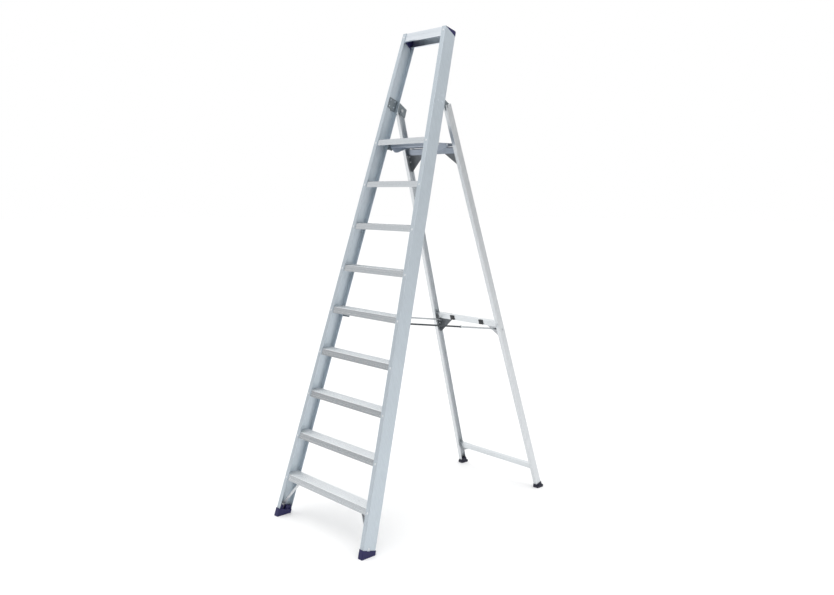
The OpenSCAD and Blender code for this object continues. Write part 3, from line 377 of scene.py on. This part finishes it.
@dataclass(frozen=True)
class Palette:
    """Every finish of the ladder, by what it is on."""

    stile: ExtrudedAluminium = ExtrudedAluminium(
        "stile_extrusion", "#cdd6dd", "#c2cbd2", Grain.ALONG_STILE, roughness=0.46
    )
    tread: ExtrudedAluminium = ExtrudedAluminium(
        "tread_extrusion",
        "#d6dade",
        "#cdd2d6",
        Grain.ACROSS,
        roughness=0.2,
        line_mm=4.0,
        bump=0.03,
        handling=0.02,
        # The tread tops are painted near-white, as painted light.
        lit_top_painted=True,
    )
    rail: ExtrudedAluminium = ExtrudedAluminium(
        "rail_extrusion", "#e2e7ec", "#d6dce2", Grain.ACROSS, roughness=0.34
    )
    leg: ExtrudedAluminium = ExtrudedAluminium(
        "leg_extrusion", "#dde0e2", "#cbcfd2", Grain.ALONG_LEG, roughness=0.34
    )
    brace: ExtrudedAluminium = ExtrudedAluminium("brace_extrusion", "#dfe3e5", "#d2d6d9", Grain.ACROSS)
    # The upper brace wears a darker, bluer copy of the brace finish: painted shade from the platform above.
    shaded_upper_brace: ExtrudedAluminium = ExtrudedAluminium(
        "shaded_brace_extrusion", "#a3abb6", "#8f97a3", Grain.ACROSS
    )
    # The gusset sheet comes as a dark copy, painted shade, and a lighter copy, painted light, for plates
    # that face the same way.
    gusset: PressedMetal = PressedMetal("gusset_sheet", "#7b7f83", "#6a6e72", roughness=0.5)
    lit_gusset: PressedMetal = PressedMetal("lit_gusset_sheet", "#c3c6c9", "#b3b6ba", roughness=0.45)
    pale_gusset: PressedMetal = PressedMetal("pale_gusset_sheet", "#dfe2e3", "#d3d6d8", roughness=0.45)
    deck: ExtrudedAluminium = ExtrudedAluminium(
        "deck_extrusion", "#b4bcc8", "#a2abb8", Grain.ACROSS, roughness=0.4
    )
    hinge: PressedMetal = PressedMetal("hinge_steel", "#8f979c", "#7d858a")
    pin: PressedMetal = PressedMetal("pin_steel", "#d3d6d8", "#c2c6c9", roughness=0.28)
    rivet: PressedMetal = PressedMetal("rivet_aluminium", "#e8eaec", "#dcdfe2", roughness=0.3)
    strap: PressedMetal = PressedMetal("strap_aluminium", "#e3e6e8", "#d6d9dc", roughness=0.36)
    stay: PressedMetal = PressedMetal("stay_steel", "#5c6064", "#4c5054", roughness=0.42)
    rear_stay: PressedMetal = PressedMetal("rear_stay_steel", "#c4c8cb", "#b4b8bc", roughness=0.4)
    navy: MouldedPlastic = MouldedPlastic("navy_polypropylene", "#120f4a", "#1f1d55")
    dark_navy: MouldedPlastic = MouldedPlastic("dark_navy_polypropylene", "#14162b", "#262941")
    # Plain black for the brace clips, small blocks set where the brace shows dark marks.
    black: MouldedPlastic = MouldedPlastic("black_block_finish", "#26282b", "#3a3d41")


class Wardrobe:
    """Builds each finish once and puts it on CAD nodes."""

    def __init__(self, frame: dict) -> None:
        self.nodes = frame["nodes"]
        self.made: dict[str, bpy.types.Material] = {}

    def material(self, finish: Finish) -> bpy.types.Material:
        """Give a finish's material, building it at first use.

        Args:
            finish: any of the finishes above.

        Returns:
            Its material.
        """
        if finish.name not in self.made:
            self.made[finish.name] = finish.build()
        return self.made[finish.name]

    def wear(self, finish: Finish, *names: str) -> None:
        """Put a finish on CAD nodes.

        Args:
            finish: the finish to wear.
            *names: CAD node names.
        """
        material = self.material(finish)
        for name in names:
            node = self.nodes[name]
            node.data.materials.clear()
            node.data.materials.append(material)
            LOG.info("%s wears %s", name, finish.name)


def both(stem: str) -> tuple[str, ...]:
    """Give the left and right names of a pair of nodes."""
    return tuple(f"{stem}_{side}" for side in SIDES)


# ------------------------------------------------------------------ sub-assemblies


@dataclass
class FrontFrame:
    """Stiles, treads, handrail, caps and boots."""

    wardrobe: Wardrobe
    palette: Palette

    def dress(self) -> None:
        """Put the finishes on the front frame."""
        wear, p = self.wardrobe.wear, self.palette
        wear(p.stile, *both("stile"))
        wear(p.tread, *(f"tread_{n}" for n in range(1, TREADS + 1)))
        wear(p.rail, "top_rail")
        wear(p.navy, *both("top_cap"), *both("front_foot"))
        wear(p.rivet, "frame_rivets")
        wear(p.stile, "bracket_rivets")
        wear(p.strap, *both("knee_brace"))
        wear(p.hinge, *both("hinge_plate"), *both("hinge_ear"))
        wear(p.hinge, *both("platform_bracket"), *both("stay_bracket"))
        wear(p.pin, "hinge_bolts", "hinge_spacers", "platform_pins", "stay_front_pivots")


@dataclass
class RearFrame:
    """Rear legs, braces, gussets, clips and feet."""

    wardrobe: Wardrobe
    palette: Palette

    def dress(self) -> None:
        """Put the finishes on the rear frame."""
        wear, p = self.wardrobe.wear, self.palette
        wear(p.leg, *both("rear_leg"))
        # Painted shade: the upper brace wears the darker copy of the brace finish.
        wear(p.shaded_upper_brace, "upper_brace")
        wear(p.brace, "mid_brace", "lower_brace")
        # Painted shade on the upper gussets and the left middle gusset, painted light on the right middle
        # one.
        wear(p.gusset, *both("upper_gusset"), "mid_gusset_left")
        wear(p.lit_gusset, "mid_gusset_right")
        wear(p.pale_gusset, *both("lower_gusset"))
        wear(p.rivet, "gusset_rivets")
        # The brace clips are coloured plain black.
        wear(p.black, "brace_clips")
        wear(p.dark_navy, *both("rear_foot"))
        wear(p.pin, "stay_rear_pivots")


@dataclass
class Platform:
    """The deck that drops onto the upper brace."""

    wardrobe: Wardrobe
    palette: Palette

    def dress(self) -> None:
        """Put the finishes on the platform."""
        wear, p = self.wardrobe.wear, self.palette
        wear(p.deck, "platform_deck", *both("platform_cheek"))
        wear(p.rivet, "cheek_rivets")


@dataclass
class Stays:
    """Flat bars that fold between the frames."""

    wardrobe: Wardrobe
    palette: Palette

    def dress(self) -> None:
        """Put the finishes on the stays."""
        wear, p = self.wardrobe.wear, self.palette
        wear(p.stay, *both("stay_front_link"))
        wear(p.rear_stay, *both("stay_rear_link"))
        wear(p.pin, *both("knuckle_front"), *both("knuckle_rear"))


# ------------------------------------------------------------------ studio


@dataclass
class Studio:
    """Pale floor, white surround, soft lights and the camera."""

    camera_at: Point = (3.6468, -3.3979, 1.9322)
    yaw: float = 47.156
    pitch: float = -7.248
    roll: float = 0.181
    lens: float = 35.405
    sensor_width: float = 36.0
    sight_limit: float = 200.0
    floor_radius: float = 60.0
    floor_sides: int = 96
    sky: float = 1.12

    def build(self) -> None:
        """Make the floor, surround, lights and camera."""
        self.make_floor()
        self.make_surround()
        self.make_lights()
        self.make_camera()

    def make_floor(self) -> None:
        """Lay a wide round floor."""
        shape = bmesh.new()
        bmesh.ops.create_circle(shape, cap_ends=True, segments=self.floor_sides, radius=self.floor_radius)
        mesh = bpy.data.meshes.new("floor")
        shape.to_mesh(mesh)
        shape.free()
        floor = bpy.data.objects.new("floor", mesh)
        bpy.context.scene.collection.objects.link(floor)
        mesh.materials.append(StudioFloor("floor_paint", "#fdfdfd").build())

    def make_surround(self) -> None:
        """Light the scene from a soft dome that is brightest overhead and dim low down."""
        world = bpy.data.worlds.new("studio_surround")
        bpy.context.scene.world = world
        world.use_nodes = True
        tree = world.node_tree
        tree.nodes.clear()
        parts = add(tree, "SeparateXYZ", {0: add(tree, "TexCoord").outputs["Generated"]})
        greys = ((0.0, 0.40), (0.16, 0.46), (0.5, 1.0), (1.0, 1.15))
        height = add(tree, "ValToRGB", {"Fac": parts.outputs["Z"]}, greys)
        dome = add(tree, "Background", {"Color": height, "Strength": self.sky})
        shown = add(tree, "Background", {"Color": (1.0, 1.0, 1.0, 1.0), "Strength": 1.0})
        sight = add(tree, "LightPath").outputs["Is Camera Ray"]
        both_skies = add(tree, "MixShader", {0: sight, 1: dome, 2: shown})
        add(tree, "OutputWorld", {"Surface": both_skies})

    def make_lights(self) -> None:
        """Hang one soft box overhead, for the tread tops."""
        self.soft_box("overhead", at=(0.2, -0.4, 7.0), towards=(0.0, 0.0, 1.2), size=5.0, power=60.0)

    def soft_box(self, name: str, at: Point, towards: Point, size: float, power: float) -> None:
        """Hang one square soft box.

        Args:
            name: the light's name.
            at: where it hangs, in metres.
            towards: the point it faces.
            size: its side in metres.
            power: its power in watts.
        """
        data = bpy.data.lights.new(name, "AREA")
        data.size = size
        data.energy = power
        light = bpy.data.objects.new(name, data)
        way = Vector(towards) - Vector(at)
        light.matrix_world = Matrix.Translation(at) @ way.to_track_quat("-Z", "Y").to_matrix().to_4x4()
        bpy.context.scene.collection.objects.link(light)

    def make_camera(self) -> None:
        """Stand the camera right of the front, at about head height."""
        yaw, pitch, roll = (math.radians(a) for a in (self.yaw, self.pitch, self.roll))
        turn = Matrix.Rotation(yaw, 4, "Z") @ Matrix.Rotation(math.pi / 2 + pitch, 4, "X")
        data = bpy.data.cameras.new("camera")
        data.lens = self.lens
        data.sensor_width = self.sensor_width
        data.clip_end = self.sight_limit
        camera = bpy.data.objects.new("camera", data)
        camera.matrix_world = Matrix.Translation(self.camera_at) @ turn @ Matrix.Rotation(roll, 4, "Z")
        bpy.context.scene.collection.objects.link(camera)
        bpy.context.scene.camera = camera


# ------------------------------------------------------------------ main


def main() -> None:
    """Load the frame, dress every sub-assembly and set up the studio."""
    logging.basicConfig(level=logging.INFO, format="%(name)s: %(message)s")
    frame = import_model()
    bpy.context.scene.view_settings.view_transform = "Standard"
    wardrobe, palette = Wardrobe(frame), Palette()
    for part in (FrontFrame, RearFrame, Platform, Stays):
        part(wardrobe, palette).dress()
    Studio().build()


if __name__ == "__main__":
    main()
